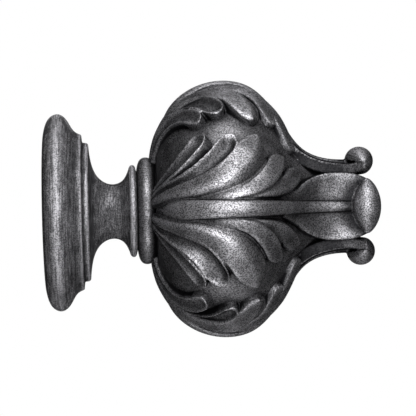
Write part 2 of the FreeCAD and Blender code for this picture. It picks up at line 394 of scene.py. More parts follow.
def add_noise(tree: Tree, place: Socket, size_mm: float, detail: float) -> Socket:
    """Noise from 0 to 1 whose lumps are about size_mm across."""
    return add_node(tree, "ShaderNodeTexNoise", {}, {
        "Vector": place, "Scale": 1.0 / (size_mm * MM), "Detail": detail, "Roughness": 0.6}).outputs[0]


def empty_tree(owner: Any) -> Tree:
    """Node tree of a material or a world, switched on and emptied."""
    owner.use_nodes = True
    owner.node_tree.nodes.clear()
    return owner.node_tree


def new_material(name: str) -> tuple[Material, Tree, ShaderNode]:
    """Material whose tree holds a Principled shader joined to the output.

    Args:
        name: the material's name.

    Returns:
        The material, its tree and its shader.
    """
    made = bpy.data.materials.new(name)
    tree = empty_tree(made)
    shader = tree.nodes.new("ShaderNodeBsdfPrincipled")
    add_node(tree, "ShaderNodeOutputMaterial", {}, {"Surface": shader.outputs[0]})
    return made, tree, shader


def rubbed_silver(tree: Tree, shader: ShaderNode, share: Socket, rough: float) -> Socket:
    """Black paint where the silver has not taken, and silver elsewhere.

    The tint at grazing angles is dark: the grains of silver lie in wax, which swallows that light, so
    that the outline of the piece does not shine.

    Args:
        tree: the material's tree.
        shader: its Principled shader, whose gloss is set here.
        share: how much of the silver has taken, 0 to 1.
        rough: roughness of the silver; the bare paint is duller.

    Returns:
        The colour.
    """
    shader.inputs["Metallic"].default_value = 0.92
    shader.inputs["Specular Tint"].default_value = linear("#303030")
    gloss = add_ramp(tree, share, Ramp(0.0, 0.6, rough + 0.08, rough))
    tree.links.new(gloss, shader.inputs["Roughness"])
    return add_mix(tree, share, linear(BLACK_PAINT), linear(SILVER_WAX))


@dataclass(frozen=True)
class CastResinRubbed:
    """Cast resin, painted black and rubbed with silver wax.

    The wax stays on what a cloth reaches: rims and full forms are pale and speckled, while the
    creases, the walls of the lobes and the ground close to the leaves stay near black: partly the
    black paint that the wax misses, partly painted shade, darkened as if they lay in shade.
    Pinholes of the casting show as dark specks.
    """

    pit: str = "#0c0c0d"
    rough: float = 0.5
    grain_mm: float = 0.48
    cloud_mm: float = 9.0
    pit_mm: float = 2.0
    hollow_mm: float = 5.0
    # Ambient occlusion lowers the silver: painted shade in recesses, and the black left in hollows.
    by_openness_wax_and_shade: Ramp = Ramp(0.35, 0.95, 0.015, 0.36)
    # Less silver where the surface turns from the bulb: walls partly bare paint and partly painted
    # shade; the bulb's hollow by the bead is painted shade.
    by_facing: Ramp = Ramp(0.25, 0.95, 0.06, 1.0)
    by_cloud: Ramp = Ramp(0.3, 0.7, 0.6, 1.4)
    on_ridges: Ramp = Ramp(0.1, 0.9, 0.0, 0.22)
    # Less silver in creases: the black left in them, and painted shade.
    in_creases: Ramp = Ramp(-0.8, 0.0, 0.6, 1.0)
    by_grain: Ramp = Ramp(0.36, 0.64, 0.28, 1.68)
    round_pits: Ramp = Ramp(0.06, 0.15, 0.25, 1.0)

    def material(self) -> Material:
        """Silver by ambient occlusion, facing and clouds, more on ridges, less in creases, broken by the
        grain; occlusion, facing and creases carry painted shade as well as the black left in hollows.

        Returns:
            The material.
        """
        made, tree, shader = new_material("cast_resin_silver_rubbed")
        place = add_node(tree, "ShaderNodeTexCoord", {}, {}).outputs["Object"]
        ridge, facing = add_attribute(tree, "ridge"), add_attribute(tree, "facing")
        grain = add_noise(tree, place, self.grain_mm, 2.0)
        cloud = add_noise(tree, place, self.cloud_mm, 3.0)
        openness_wax_and_shade = add_openness_wax_and_shade(tree, self.hollow_mm)
        share = layer(tree, (openness_wax_and_shade, self.by_openness_wax_and_shade), ("MULTIPLY", facing, self.by_facing),
                      ("MULTIPLY", cloud, self.by_cloud), ("ADD", ridge, self.on_ridges),
                      ("MULTIPLY", ridge, self.in_creases), ("MULTIPLY", grain, self.by_grain))
        colour = rubbed_silver(tree, shader, share, self.rough)
        cells = add_node(tree, "ShaderNodeTexVoronoi", {},
                         {"Vector": place, "Scale": 1.0 / (self.pit_mm * MM)}).outputs["Distance"]
        pitted = add_mix(tree, add_ramp(tree, cells, self.round_pits), linear(self.pit), colour)
        tree.links.new(pitted, shader.inputs["Base Color"])
        add_bump(tree, shader, grain, 0.25, 0.1)
        return made


@dataclass(frozen=True)
class TurnedWoodBrushed:
    """Turned wood, painted black and brushed with silver while it spins.

    The brush leaves streaks that run round the axis, broken by patches where it ran dry; edges
    and full rounds are pale. The inner corners of the steps are dark, partly the black that the
    brush misses and partly painted shade; what faces along the axis is darker as painted shade.
    """

    rough: float = 0.7
    streak_mm: float = 0.4
    streaks_per_turn: float = 3.0
    patch_mm: float = 4.0
    grain_mm: float = 0.5
    hollow_mm: float = 6.0
    # Ambient occlusion lowers the silver: painted shade in recesses, and the black left in hollows.
    by_openness_wax_and_shade: Ramp = Ramp(0.35, 0.92, 0.02, 0.47)
    by_patch: Ramp = Ramp(0.3, 0.7, 0.65, 1.35)
    # Less silver on faces turned along the axis: painted shade.
    by_facing: Ramp = Ramp(0.15, 0.6, 0.28, 0.8)
    on_ridges: Ramp = Ramp(0.4, 1.0, 0.0, 0.42)
    # Less silver in the inner corners: the black left in them, and painted shade.
    in_creases: Ramp = Ramp(-0.8, 0.0, 0.35, 1.0)
    by_streak: Ramp = Ramp(0.36, 0.64, 0.5, 1.5)
    by_grain: Ramp = Ramp(0.36, 0.64, 0.5, 1.5)

    def streaks(self, tree: Tree, place: Socket) -> Socket:
        """Noise that is fine along X and long round it: X and the turn about it are its two inputs.

        Args:
            tree: the material's tree.
            place: place on the piece.

        Returns:
            The noise, 0 to 1.
        """
        parts = add_node(tree, "ShaderNodeSeparateXYZ", {}, {0: place}).outputs
        flat = add_node(tree, "ShaderNodeCombineXYZ", {}, {1: parts[1], 2: parts[2]}).outputs[0]
        turn = add_node(tree, "ShaderNodeVectorMath", {"operation": "NORMALIZE"}, {0: flat}).outputs[0]
        along = combine(tree, "MULTIPLY", parts[0], 1.0 / (self.streak_mm * MM))
        along = add_node(tree, "ShaderNodeCombineXYZ", {}, {0: along}).outputs[0]
        spread = (self.streaks_per_turn,) * 3
        wound = add_node(tree, "ShaderNodeVectorMath", {"operation": "MULTIPLY_ADD"},
                         {0: turn, 1: spread, 2: along}).outputs[0]
        return add_node(tree, "ShaderNodeTexNoise", {},
                        {"Vector": wound, "Scale": 1.0, "Detail": 3.0, "Roughness": 0.65}).outputs[0]

    def material(self) -> Material:
        """Silver by ambient occlusion, patches and facing, more on edges, less in corners, broken by
        streaks; occlusion, corners and faces along the axis carry painted shade.

        Returns:
            The material.
        """
        made, tree, shader = new_material("turned_wood_silver_brushed")
        place = add_node(tree, "ShaderNodeTexCoord", {}, {}).outputs["Object"]
        ridge, facing = add_attribute(tree, "ridge"), add_attribute(tree, "facing")
        streak = self.streaks(tree, place)
        patch = add_noise(tree, place, self.patch_mm, 3.0)
        grain = add_noise(tree, place, self.grain_mm, 2.0)
        openness_wax_and_shade = add_openness_wax_and_shade(tree, self.hollow_mm)
        share = layer(tree, (openness_wax_and_shade, self.by_openness_wax_and_shade), ("MULTIPLY", patch, self.by_patch),
                      ("MULTIPLY", facing, self.by_facing), ("ADD", ridge, self.on_ridges),
                      ("MULTIPLY", ridge, self.in_creases), ("MULTIPLY", streak, self.by_streak),
                      ("MULTIPLY", grain, self.by_grain))
        colour = rubbed_silver(tree, shader, share, self.rough)
        tree.links.new(colour, shader.inputs["Base Color"])
        add_bump(tree, shader, streak, 0.15, 0.1)
        return made


@dataclass(frozen=True)
class TurnedBrass:
    """Brass bush as it leaves the lathe: yellow, with fine rings that scatter the light."""

    colour: str = "#c9a35a"
    shade: str = "#a5823f"
    rough: float = 0.3
    ring_mm: float = 0.25

    def material(self) -> Material:
        """Metal whose tone and slope follow the rings.

        Returns:
            The material.
        """
        made, tree, shader = new_material("turned_brass")
        place = add_node(tree, "ShaderNodeTexCoord", {}, {}).outputs["Object"]
        rings = add_node(tree, "ShaderNodeTexWave", {"wave_type": "RINGS", "rings_direction": "X"}, {
            "Vector": place, "Scale": 0.3 / (self.ring_mm * MM), "Distortion": 0.4}).outputs[1]
        tone = add_mix(tree, rings, linear(self.shade), linear(self.colour))
        tree.links.new(tone, shader.inputs["Base Color"])
        add_bump(tree, shader, rings, 0.2, 0.05)
        shader.inputs["Metallic"].default_value = 1.0
        shader.inputs["Roughness"].default_value = self.rough
        return made


def dress(piece: Object, node: Node, finish: Material) -> None:
    """Gives a piece its finish and ties it to the part.

    Args:
        piece: the piece.
        node: the solid that it stands for.
        finish: its material.
    """
    piece.data.materials.clear()
    piece.data.materials.append(finish)
    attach(piece, "root")
    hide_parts(node.value)
    LOG.info("%s stands for %s, %d faces", piece.name, node.value, len(piece.data.polygons))


# Sub-assemblies


@dataclass
class TurnedBase:
    """Collar, stepped disc, hollow neck and thin ring, with the pole socket behind."""

    socket_radius: float = 25.25
    socket_depth: float = 10.0
    insert_radius: float = 5.5
    insert_length: float = 13.0
    back_radius: float = 30.6
    crest: Pair = (5.5, 37.5)
    step: Pair = (14.2, 29.6)
    disc: Pair = (16.6, 26.4)
    neck: Pair = (25.8, 10.4)
    seam: Pair = (34.8, 15.0)
    bore: Pair = (25.8, 5.0)
    ridge_reach: float = 0.8
    ridge_full: float = 0.12
    segments: int = 240

    def profile(self) -> Array:
        """Outline from the floor of the insert's pocket, out round the socket and collar, to the bore.

        Returns:
            (x, r) points from axis to axis.
        """
        end, socket_r = self.socket_depth + self.insert_length, self.socket_radius
        step_x, step_r = self.step
        disc_x, disc_r = self.disc
        bore_x, bore_r = self.bore
        pieces = [
            [(end, 0.0), (end, self.insert_radius), (self.socket_depth, self.insert_radius)],
            [(self.socket_depth, socket_r - 0.2), (self.socket_depth - 0.2, socket_r)],
            [(0.3, socket_r), (0.0, socket_r + 0.3), (0.0, self.back_radius - 0.4)],
            spline([(0.0, self.back_radius), (1.1, 34.4), (3.1, 36.8), self.crest, (7.9, 36.3),
                    (10.2, 32.9), (12.1, 30.5), (step_x - 0.25, step_r)], 70),
            [(step_x, step_r - 0.25), (step_x + 0.25, disc_r + 0.5), (step_x + 0.4, disc_r + 0.25)],
            [(step_x + 0.7, disc_r + 0.05)],
            arc((disc_x - 0.9, disc_r - 1.1), 1.1, 90.0, 5.0, 9),
            spline([(disc_x + 0.2, disc_r - 1.4), (18.0, 17.6), (20.4, 13.0), self.neck, (29.3, 11.6),
                    (31.7, 15.6)], 70),
            spline([(31.75, 15.75), (32.3, 17.1), (33.1, 17.6), (33.9, 17.4), (34.4, 16.6)], 16),
            [self.seam, (self.seam[0], bore_r), (bore_x, bore_r), (bore_x, 0.0)],
        ]
        return np.concatenate([np.array(p, float) for p in pieces])

    def build(self, finish: Material) -> None:
        """Turns the outline and dresses the piece.

        Args:
            finish: the material of the base.
        """
        profile = self.profile()
        made = lathe("collar_and_neck", profile, self.segments)
        mark_outline(made, profile, self.segments, self.ridge_reach, self.ridge_full)
        dress(made, Node.BASE, finish)


@dataclass
class ThreadedInsert:
    """Metal bush for the bolt that joins the finial to its pole."""

    start: float = 10.0
    length: float = 13.0
    radius: float = 5.5
    thread_radius: float = 3.4
    thread_depth: float = 0.3
    turns: int = 9
    chamfer: float = 0.2
    segments: int = 64

    def build(self, finish: Material) -> None:
        """Carries a closed outline, its bore notched by the thread, round X and dresses it.

        Args:
            finish: the material of the bush.
        """
        s = np.linspace(0.0, 1.0, self.turns * 8 + 1)
        notch = self.thread_depth * (0.5 - 0.5 * np.cos(2.0 * np.pi * self.turns * s))
        inner = np.stack([self.start + self.length * (1.0 - s), self.thread_radius + notch], axis=1)
        outer = [(self.start, self.radius - self.chamfer), (self.start + self.chamfer, self.radius),
                 (self.start + self.length, self.radius)]
        loop = np.concatenate([inner, np.array(outer)])
        rings = turned(loop, self.segments).swapaxes(0, 1)
        quads = grid_faces(self.segments + 1, len(loop)) % (self.segments * len(loop))
        made = new_object("bolt_bush", rings.reshape(-1, 3), quads[:, ::-1], NO_TRIANGLES)
        dress(made, Node.INSERT, finish)


@dataclass(frozen=True)
class Bulb:
    """Smooth bulb that the leaves lie on, with the bead and the spigot in front of it."""

    core: tuple[Pair, ...] = (
        (40.9, 17.0), (42.6, 23.0), (45.2, 28.6), (49.9, 34.6), (56.7, 39.3), (68.0, 42.4),
        (77.8, 40.2), (85.1, 34.0), (91.4, 25.2), (97.3, 18.9), (105.6, 14.2), (113.4, 12.0),
        (117.6, 11.6), (121.4, 9.6), (123.9, 6.0),
    )
    bud: tuple[Pair, ...] = ((124.6, 4.6), (125.1, 3.2), (125.4, 1.8), (125.5, 0.6))
    spigot: Pair = (26.3, 5.0)
    seam: Pair = (34.8, 15.0)
    bead: Pair = (38.4, 20.4)
    bead_half: float = 3.5
    ridge_reach: float = 1.2
    ridge_full: float = 0.6
    # Less silver from the bead onto the body's side: painted shade where the base would shade the bulb.
    rub: Pair = (0.62, 0.9)
    painted_shade_starts: Pair = (39.5, 41.5)
    painted_shade_ends: Pair = (46.0, 58.0)
    rub_full: float = 56.0
    segments: int = 256

    def radius(self, x: Array) -> Array:
        """Radius of the bulb at x."""
        return hermite(self.core, x)

    def point(self, x: Array, turn: Array) -> Array:
        """Points on the bulb at x and at an angle, in radians, from -Y toward +Z."""
        r = self.radius(x)
        return np.stack([x, -r * np.cos(turn), r * np.sin(turn)], axis=-1)

    def normal(self, x: Array, turn: Array) -> Array:
        """Outward normals at the same places: the slope of the radius tilts them along X."""
        gap = 0.05
        rise = (self.radius(x + gap) - self.radius(x - gap)) / (2.0 * gap)
        return unit(np.stack([-rise, -np.cos(turn), np.sin(turn)], axis=-1))

    def facing(self, x: Array) -> Array:
        """Painted shade by the bead: full silver on the bead and the body, less in the hollow between
        them.

        Args:
            x: places along the axis.

        Returns:
            A share for each.
        """
        low, high = self.rub
        reached = np.maximum(1.0 - smoothstep(*self.painted_shade_starts, x), smoothstep(*self.painted_shade_ends, x))
        return np.where(x > self.rub_full, high, low + (high - low) * reached)

    def profile(self) -> Array:
        """Outline from the end of the spigot over the bead and bulb to the bud.

        Returns:
            (x, r) points from axis to axis.
        """
        x, r = self.bead
        h = self.bead_half
        start, peg = self.spigot
        seam_x, seam_r = self.seam
        pieces = [
            [(start, 0.0), (start, peg - 0.3), (start + 0.3, peg)],
            [(seam_x, peg), (seam_x, seam_r - 0.2)],
            spline([self.seam, (x - h * 0.88, r - 2.6), (x - h * 0.5, r - 0.5), (x, r),
                    (x + h * 0.5, r - 0.5), (x + h, r - 2.4)], 40),
            spline([(x + h + 0.05, r - 2.3), *self.core[1:]], 150),
            self.bud,
        ]
        outline = np.concatenate([np.array(p, float) for p in pieces])
        return np.concatenate([outline, [[outline[-1, 0], 0.0]]])

    def build(self, finish: Material) -> None:
        """Turns the outline, stores its ridges and its painted shade by the bead, and dresses the piece.

        Args:
            finish: the material of the bulb.
        """
        profile = self.profile()
        made = lathe("bead_and_bulb", profile, self.segments)
        mark_outline(made, profile, self.segments, self.ridge_reach, self.ridge_full,
                     self.facing(profile[:, 0]))
        dress(made, Node.BULB, finish)


@dataclass(frozen=True)
class Profile:
    """Top of a lobe across its width, q running from 1 on the root's side to -1.

    crest: q of the highest line; near and far: heights at q = 1 and q = -1 as shares of it.
    hollow: depth of the scoop between the sides; tilt: rise toward the root (+) or the tip (-).
    """

    crest: float
    near: float
    far: float
    hollow: float
    tilt: float

    def lift(self, q: Array, scoop: Array) -> Array:
        """Height at q: two falls of power 1.6 from the crest, plus the tilt, less the scoop.

        The scoop is a parabola, a little deeper on the side of the leaf's tip.

        Args:
            q: places across the lobe.
            scoop: share of the hollow that is left, one row for each outline.

        Returns:
            Shares of the lobe's height, (outline, q).
        """
        up = (1.0 - self.near) * (np.maximum(q - self.crest, 0.0) / (1.0 - self.crest)) ** 1.6
        down = (1.0 - self.far) * (np.maximum(self.crest - q, 0.0) / (1.0 + self.crest)) ** 1.6
        return 1.0 - up - down + self.tilt * q - scoop * self.hollow * (1.0 - q * q) * (1.0 - 0.35 * q)


PLAIN_SKIRT = 1.06
LOW_SCOOP = Profile(0.0, 1.0, 1.0, 0.28, -0.2)
SCOOP = Profile(0.0, 1.0, 1.0, 0.62, 0.0)
FULL = Profile(-0.1, 0.62, 0.25, 0.0, 0.0)
KEELED = Profile(-0.4, 0.6, 0.2, 0.0, 0.0)


@dataclass(frozen=True)
class Lobe:
    """One lobe of a leaf.

    spine: four points (X, degrees from the rib) along its middle, from root to tip.
    width: greatest half width, and root: that at the root as a share of it.
    heights: height over the bulb at the root, in the middle and at the tip.
    profile: the top across its width.
    skirt: reach of the foot toward the leaf's tip, in half widths; a long one makes a facet.
    """

    spine: tuple[Pair, Pair, Pair, Pair]
    width: float
    root: float
    heights: Triple
    profile: Profile
    skirt: float = PLAIN_SKIRT


UPPER_LOBES = (
    Lobe(((41.4, 17.5), (47.6, 22.4), (53.8, 29.4), (59.4, 40.0)), 3.4, 0.45, (1.6, 3.2, 3.2),
         LOW_SCOOP, 2.1),
    Lobe(((41.4, 12.0), (51.0, 14.6), (61.5, 21.8), (69.2, 37.0)), 3.6, 0.35, (1.8, 4.0, 3.2), SCOOP),
    Lobe(((41.4, 7.8), (52.7, 8.8), (68.0, 15.6), (77.3, 38.8)), 6.2, 0.30, (1.8, 5.0, 3.2), FULL),
    Lobe(((58.7, 5.0), (72.0, 7.2), (80.2, 15.0), (86.0, 33.0)), 4.2, 0.45, (4.0, 5.0, 3.0), KEELED),
    Lobe(((69.0, 5.0), (80.5, 8.0), (87.6, 15.5), (94.0, 34.0)), 3.8, 0.45, (4.0, 4.8, 2.8), KEELED),
)
LOWER_LOBES = (
    Lobe(((41.4, 17.5), (47.2, 22.9), (53.2, 30.0), (58.8, 42.0)), 3.2, 0.45, (1.6, 3.2, 3.2),
         LOW_SCOOP, 1.8),
    Lobe(((41.4, 13.0), (49.3, 15.4), (58.4, 22.6), (65.2, 39.0)), 4.4, 0.35, (1.8, 4.0, 3.2), SCOOP),
    Lobe(((41.4, 8.0), (52.3, 8.8), (66.8, 16.0), (76.4, 42.0)), 6.3, 0.30, (1.8, 5.0, 3.2), FULL),
    Lobe(((58.7, 4.5), (71.6, 6.7), (79.1, 14.1), (84.4, 32.5)), 4.1, 0.45, (4.0, 5.0, 3.0), KEELED),
    Lobe(((68.5, 5.0), (79.7, 8.2), (86.4, 16.5), (92.5, 34.0)), 3.8, 0.45, (4.0, 4.8, 2.8), KEELED),
)


@dataclass
class AcanthusLeaves:
    """Four leaves round the bulb, each with a rib, five lobes a side, a tongue and a curl."""

    bulb: Bulb
    names: tuple[str, ...] = ("leaf_front", "leaf_top", "leaf_back", "leaf_bottom")
    sink: float = 2.5
    rib_line: tuple[Pair, ...] = (
        (40.5, 17.0), (44.2, 31.5), (47.6, 38.9), (55.6, 45.9), (68.2, 49.2), (78.5, 46.9), (85.4, 41.0),
        (92.2, 31.2), (99.2, 22.2), (103.8, 19.7), (110.7, 18.2), (115.9, 18.0), (122.0, 18.0),
    )
    rib: Pair = (41.4770094, 116.0)
    body: Pair = (45.5, 94.0)
    tongue: Pair = (89.0, 121.4)
    tongue_half: tuple[Pair, ...] = (
        (88.0, 3.0), (95.4, 6.6), (100.2, 10.4), (105.6, 12.4), (110.5, 12.7), (115.4, 12.4),
        (119.5, 11.0), (121.8, 9.7),
    )
    curl: Pair = (120.5, 17.4)
    curl_radius: float = 5.4
    curl_half: float = 10.4
    curl_bend: Pair = (0.7, -1.4)
    voxel: float = 0.4
    smooth_rounds: int = 3
    ridge_rounds: int = 14
    ridge_full: float = 0.12
    on_bulb: Pair = (41.6, 109.0)
    leaves_bulb: Pair = (88.0, 100.0)
    # ridges_fade, tongue_shade and curl_shade set painted shade on the tongue and painted shadow under
    # the curl's lip.
    ridges_fade: Pair = (106.0, 116.0)
    tongue_shade: float = 0.16
    tongue_shade_x: Pair = (96.0, 102.0)
    curl_shade: float = 0.5
    curl_shade_mm: Pair = (-9.0, -0.3)
    wall_facing: float = 0.5
    wall_ridge: float = 0.2
    wall_rub: Pair = (0.3, 0.75)
    wall_rub_x: Pair = (108.0, 120.0)
    lip_rub: float = 0.85
    lip_margin: float = 0.4

    def lobe_skin(self, lobe: Lobe, side: float) -> Skin:
        """Lobe as outlines square to its spine: a rounded or scooped top over a buried foot.

        The spine is the cubic through four points. The half width swells from the root and closes
        like an ellipse at the tip. The height runs along a parabola through the heights at root,
        middle and tip, and the lobe's profile shapes it across; the scoop runs out at the tip.

        Args:
            lobe: its sizes.
            side: 1 for the side toward +Z, -1 for the mirrored one.

        Returns:
            The skin.
        """
        bulge = 0.8
        closing = bulge + 0.199 * np.sin(np.linspace(0.04, 1.0, 26) * np.pi / 2)
        t = np.concatenate([np.linspace(0.0, bulge, 50), closing])
        a, b, c = t - 1.0 / 3, t - 2.0 / 3, t - 1.0
        cubic = np.stack([-4.5 * a * b * c, 13.5 * t * b * c, -13.5 * t * a * c, 4.5 * t * a * b])
        x, turn = np.array(lobe.spine).T @ cubic
        turn = np.radians(turn) * side
        point, normal = self.bulb.point(x, turn), self.bulb.normal(x, turn)
        across = unit(np.cross(normal, np.gradient(point, axis=0))) * side
        swell = lobe.root + (1.0 - lobe.root) * np.sin(np.pi / 2 * np.minimum(t / bulge, 1.0)) ** 1.5
        close = np.sqrt(1.0 - np.clip((t - 0.85) / 0.15, 0.0, 1.0) ** 2)
        half = (lobe.width * swell * close)[:, None]
        root, middle, tip = lobe.heights
        height = root * (1 - t) * (1 - 2 * t) + 4 * middle * t * (1 - t) + tip * t * (2 * t - 1)
        scoop = 1.0 - smoothstep(0.90, 0.99, t)
        lift = height[:, None] * lobe.profile.lift(ACROSS, scoop[:, None])
        point, across, normal = point[:, None], across[:, None], normal[:, None]
        top = point + across * (ACROSS * half)[..., None] + normal * lift[..., None]
        ends = np.array([-lobe.skirt, PLAIN_SKIRT])
        foot = point + across * (ends * half)[..., None] - normal * self.sink
        return tube(np.concatenate([top, foot], axis=1))

    def strip_skin(self, shares: Array, half: Array, under: Array, depth: float | Array) -> Skin:
        """Strip down the middle of the leaf: outlines square to the line of the rib.

        Args:
            shares: shares of the rib's line, one for each outline.
            half: half width of each outline.
            under: depth of the top below the rib's line, one row for each outline, from +Z to -Z.
            depth: depth of the foot below the top's middle, one for all outlines or one for each.

        Returns:
            The skin.
        """
        line = spline(self.rib_line, LINE_STEPS)
        even = np.linspace(0.0, 1.0, LINE_STEPS)
        line = np.stack([np.interp(shares, even, line[:, k]) for k in (0, 1)], axis=1)
        along = unit(np.gradient(line, axis=0))
        out = np.stack([-along[:, 1], along[:, 0]], axis=1)
        foot = np.repeat((under[:, len(ACROSS) // 2] + depth)[:, None], 2, axis=1)
        drop = np.concatenate([under, foot], axis=1)
        width = np.concatenate([ACROSS, [-1.0, 1.0]]) * half[:, None]
        flat = line[:, None] - out[:, None] * drop[..., None]
        return tube(np.stack([flat[..., 0], -flat[..., 1], width], axis=-1))

    def stations(self, start: float, end: float, count: int) -> tuple[Array, Array]:
        """Even steps along the rib's line.

        Args:
            start: X at which they begin.
            end: X at which they end.
            count: how many there are.

        Returns:
            The shares of the line and the X of each.
        """
        x = spline(self.rib_line, LINE_STEPS)[:, 0]
        even = np.linspace(0.0, 1.0, LINE_STEPS)
        shares = np.linspace(*np.interp([start, end], x, even), count)
        return shares, np.interp(shares, even, x)

    def rib_skin(self) -> Skin:
        """Rib whose top is half an ellipse, lower and narrower toward the leaf's tip.

        Returns:
            The skin.
        """
        shares, x = self.stations(*self.rib, 120)
        done = (x - 42.0) / 74.5
        under = (2.4 - 1.3 * done)[:, None] * (1.0 - np.sqrt(1.0 - 0.97 * ACROSS * ACROSS))
        return self.strip_skin(shares, 3.9 - 2.1 * done, under, 3.2)

    def body_skin(self) -> Skin:
        """Fleshy middle whose top is a parabola, broadest halfway.

        Returns:
            The skin.
        """
        shares, x = self.stations(*self.body, 90)
        half = 4.6 + 2.6 * np.sin(np.pi * (x - 42.0) / 55.0)
        under = 2.5 + 2.0 * np.broadcast_to(ACROSS * ACROSS, (len(x), len(ACROSS)))
        return self.strip_skin(shares, half, under, 6.0)

    def tongue_skin(self) -> Skin:
        """Tongue: a parabola with a dish on each side of the rib, rising into the curl at its end.

        Returns:
            The skin.
        """
        shares, x = self.stations(*self.tongue, 90)
        dish = (0.9 * smoothstep(92.0, 104.0, x))[:, None] * np.sin(np.pi * np.abs(ACROSS)) ** 1.5
        rise = (0.8 * smoothstep(114.0, 120.0, x))[:, None]
        under = 1.3 + 0.8 * ACROSS * ACROSS + dish - rise
        depth = 5.2 - 0.6 * smoothstep(113.0, 119.5, x)
        return self.strip_skin(shares, hermite(self.tongue_half, x), under, depth)

    def curl_skin(self) -> Skin:
        """Curl: a hook-shaped outline carried along Z, slimmer toward its ends and bent at them.

        The outline is a circle with a notch under its lip. With w from -1 to 1 along Z it shrinks by
        the power 0.75 of 1 - w^2, but on the side of the axis only by the power 0.25, and it moves
        along the bend by w^2.

        Returns:
            The skin.
        """
        w = np.sin(np.linspace(-1.55, 1.55, 70))
        circle = arc((0.0, 0.0), self.curl_radius, -162.0, 180.0, 56)
        notch = arc((-3.2, -0.2), 1.5, 120.0, -110.0, 28)
        loop = np.concatenate([circle, notch])
        slim, full = ((1.0 - w * w) ** 0.75)[:, None], ((1.0 - w * w) ** 0.25)[:, None]
        along, out = loop.T
        hook = np.stack([along * slim, out * np.where(out < 0.0, full, slim)], axis=-1)
        hook += (w * w)[:, None, None] * np.array(self.curl_bend)
        width = np.broadcast_to((w * self.curl_half)[:, None], hook.shape[:2])
        x, r = self.curl[0] + hook[..., 0], self.curl[1] + hook[..., 1]
        return tube(np.stack([x, -r, width], axis=-1))

    def carve(self) -> Mesh:
        """One leaf as a single skin: the parts are joined, remeshed on a fine grid and smoothed.

        Returns:
            The mesh of the leaf that faces -Y.
        """
        skins = [self.rib_skin(), self.body_skin(), self.tongue_skin(), self.curl_skin()]
        skins += [self.lobe_skin(lobe, 1.0) for lobe in UPPER_LOBES]
        skins += [self.lobe_skin(lobe, -1.0) for lobe in LOWER_LOBES]
        rough = new_object("leaf_blank", *join(skins))
        remesh = rough.modifiers.new("remesh", "REMESH")
        remesh.mode = "VOXEL"
        remesh.voxel_size = self.voxel * MM
        smooth = rough.modifiers.new("smooth", "SMOOTH")
        smooth.factor = 0.5
        smooth.iterations = self.smooth_rounds
        bpy.context.view_layer.update()
        graph = bpy.context.evaluated_depsgraph_get()
        carved = bpy.data.meshes.new_from_object(rough.evaluated_get(graph))
        bpy.data.objects.remove(rough)
        return carved

    def stand(self, mesh: Mesh, place: Array, normal: Array) -> Array:
        """How far each point is a ridge (+) or a crease (-): how far it stands out of those around it.

        The average of those around it spreads along the edges, by one edge a round.

        Args:
            mesh: the mesh.
            place: its points.
            normal: their normals.

        Returns:
            A value from -1 to 1 for each.
        """
        edges = np.empty(len(mesh.edges) * 2, np.int32)
        mesh.edges.foreach_get("vertices", edges)
        a, b = edges.reshape(-1, 2).T
        count = len(place)
        degree = np.bincount(edges, minlength=count)[:, None]
        around = place
        for _ in range(self.ridge_rounds):
            total = np.stack([np.bincount(a, around[b, k], count) + np.bincount(b, around[a, k], count)
                              for k in range(3)], axis=1)
            around = total / degree
        return np.clip(((place - around) * normal).sum(axis=1) / self.ridge_full, -1.0, 1.0)

    def mark(self, mesh: Mesh) -> None:
        """Stores how far each point is a ridge or a crease, and how far it faces out from the bulb.

        Where the tongue leaves the bulb, outward is -Y. There the rub is given directly: the top is a
        little darker along the tongue and grows darker toward the curl as painted shadow under the
        curl's lip, the walls are even, ridges fade out into that painted shadow, and the curl is rubbed
        all over.

        Args:
            mesh: the mesh of the leaf that faces -Y.
        """
        place, normal = (np.empty(len(mesh.vertices) * 3, np.float32) for _ in range(2))
        mesh.vertices.foreach_get("co", place)
        mesh.vertex_normals.foreach_get("vector", normal)
        place, normal = place.reshape(-1, 3) / MM, normal.reshape(-1, 3)
        ridge = self.stand(mesh, place, normal)
        x, r, w = place[:, 0], -place[:, 1], place[:, 2] / self.curl_half
        outward = self.bulb.normal(np.clip(x, *self.on_bulb), np.arctan2(place[:, 2], r))
        free = smoothstep(*self.leaves_bulb, x)[:, None]
        outward = unit(outward * (1.0 - free) + np.array([0.0, -1.0, 0.0]) * free)
        facing = (normal * outward).sum(axis=1)
        roll = self.curl_radius * np.maximum(1.0 - w * w, 0.0) ** 0.75
        from_axis = x - self.curl[0] - self.curl_bend[0] * w * w
        from_centre = np.hypot(from_axis, r - self.curl[1] - self.curl_bend[1] * w * w)
        lip = from_centre < roll + self.lip_margin
        wall = (facing < self.wall_facing) & (x > self.tongue_shade_x[0])
        # Painted shade: a little darker along the tongue, and painted shadow toward the curl's lip,
        # whose overhang would shade the tongue.
        shade = (1.0 - self.tongue_shade * smoothstep(*self.tongue_shade_x, x)
                 - self.curl_shade * smoothstep(*self.curl_shade_mm, from_axis + roll))
        low, high = self.wall_rub
        rub = low + (high - low) * smoothstep(*self.wall_rub_x, x)
        facing = np.where(wall, rub, facing * shade)
        ridge = np.where(wall, np.minimum(ridge, self.wall_ridge), ridge)
        # Ridges fade out near the curl, into the painted shadow there.
        fading = np.minimum(ridge, 1.0 - smoothstep(*self.ridges_fade, x))
        store(mesh, "ridge", np.where(lip, ridge, fading))
        store(mesh, "facing", np.where(lip, self.lip_rub, facing))

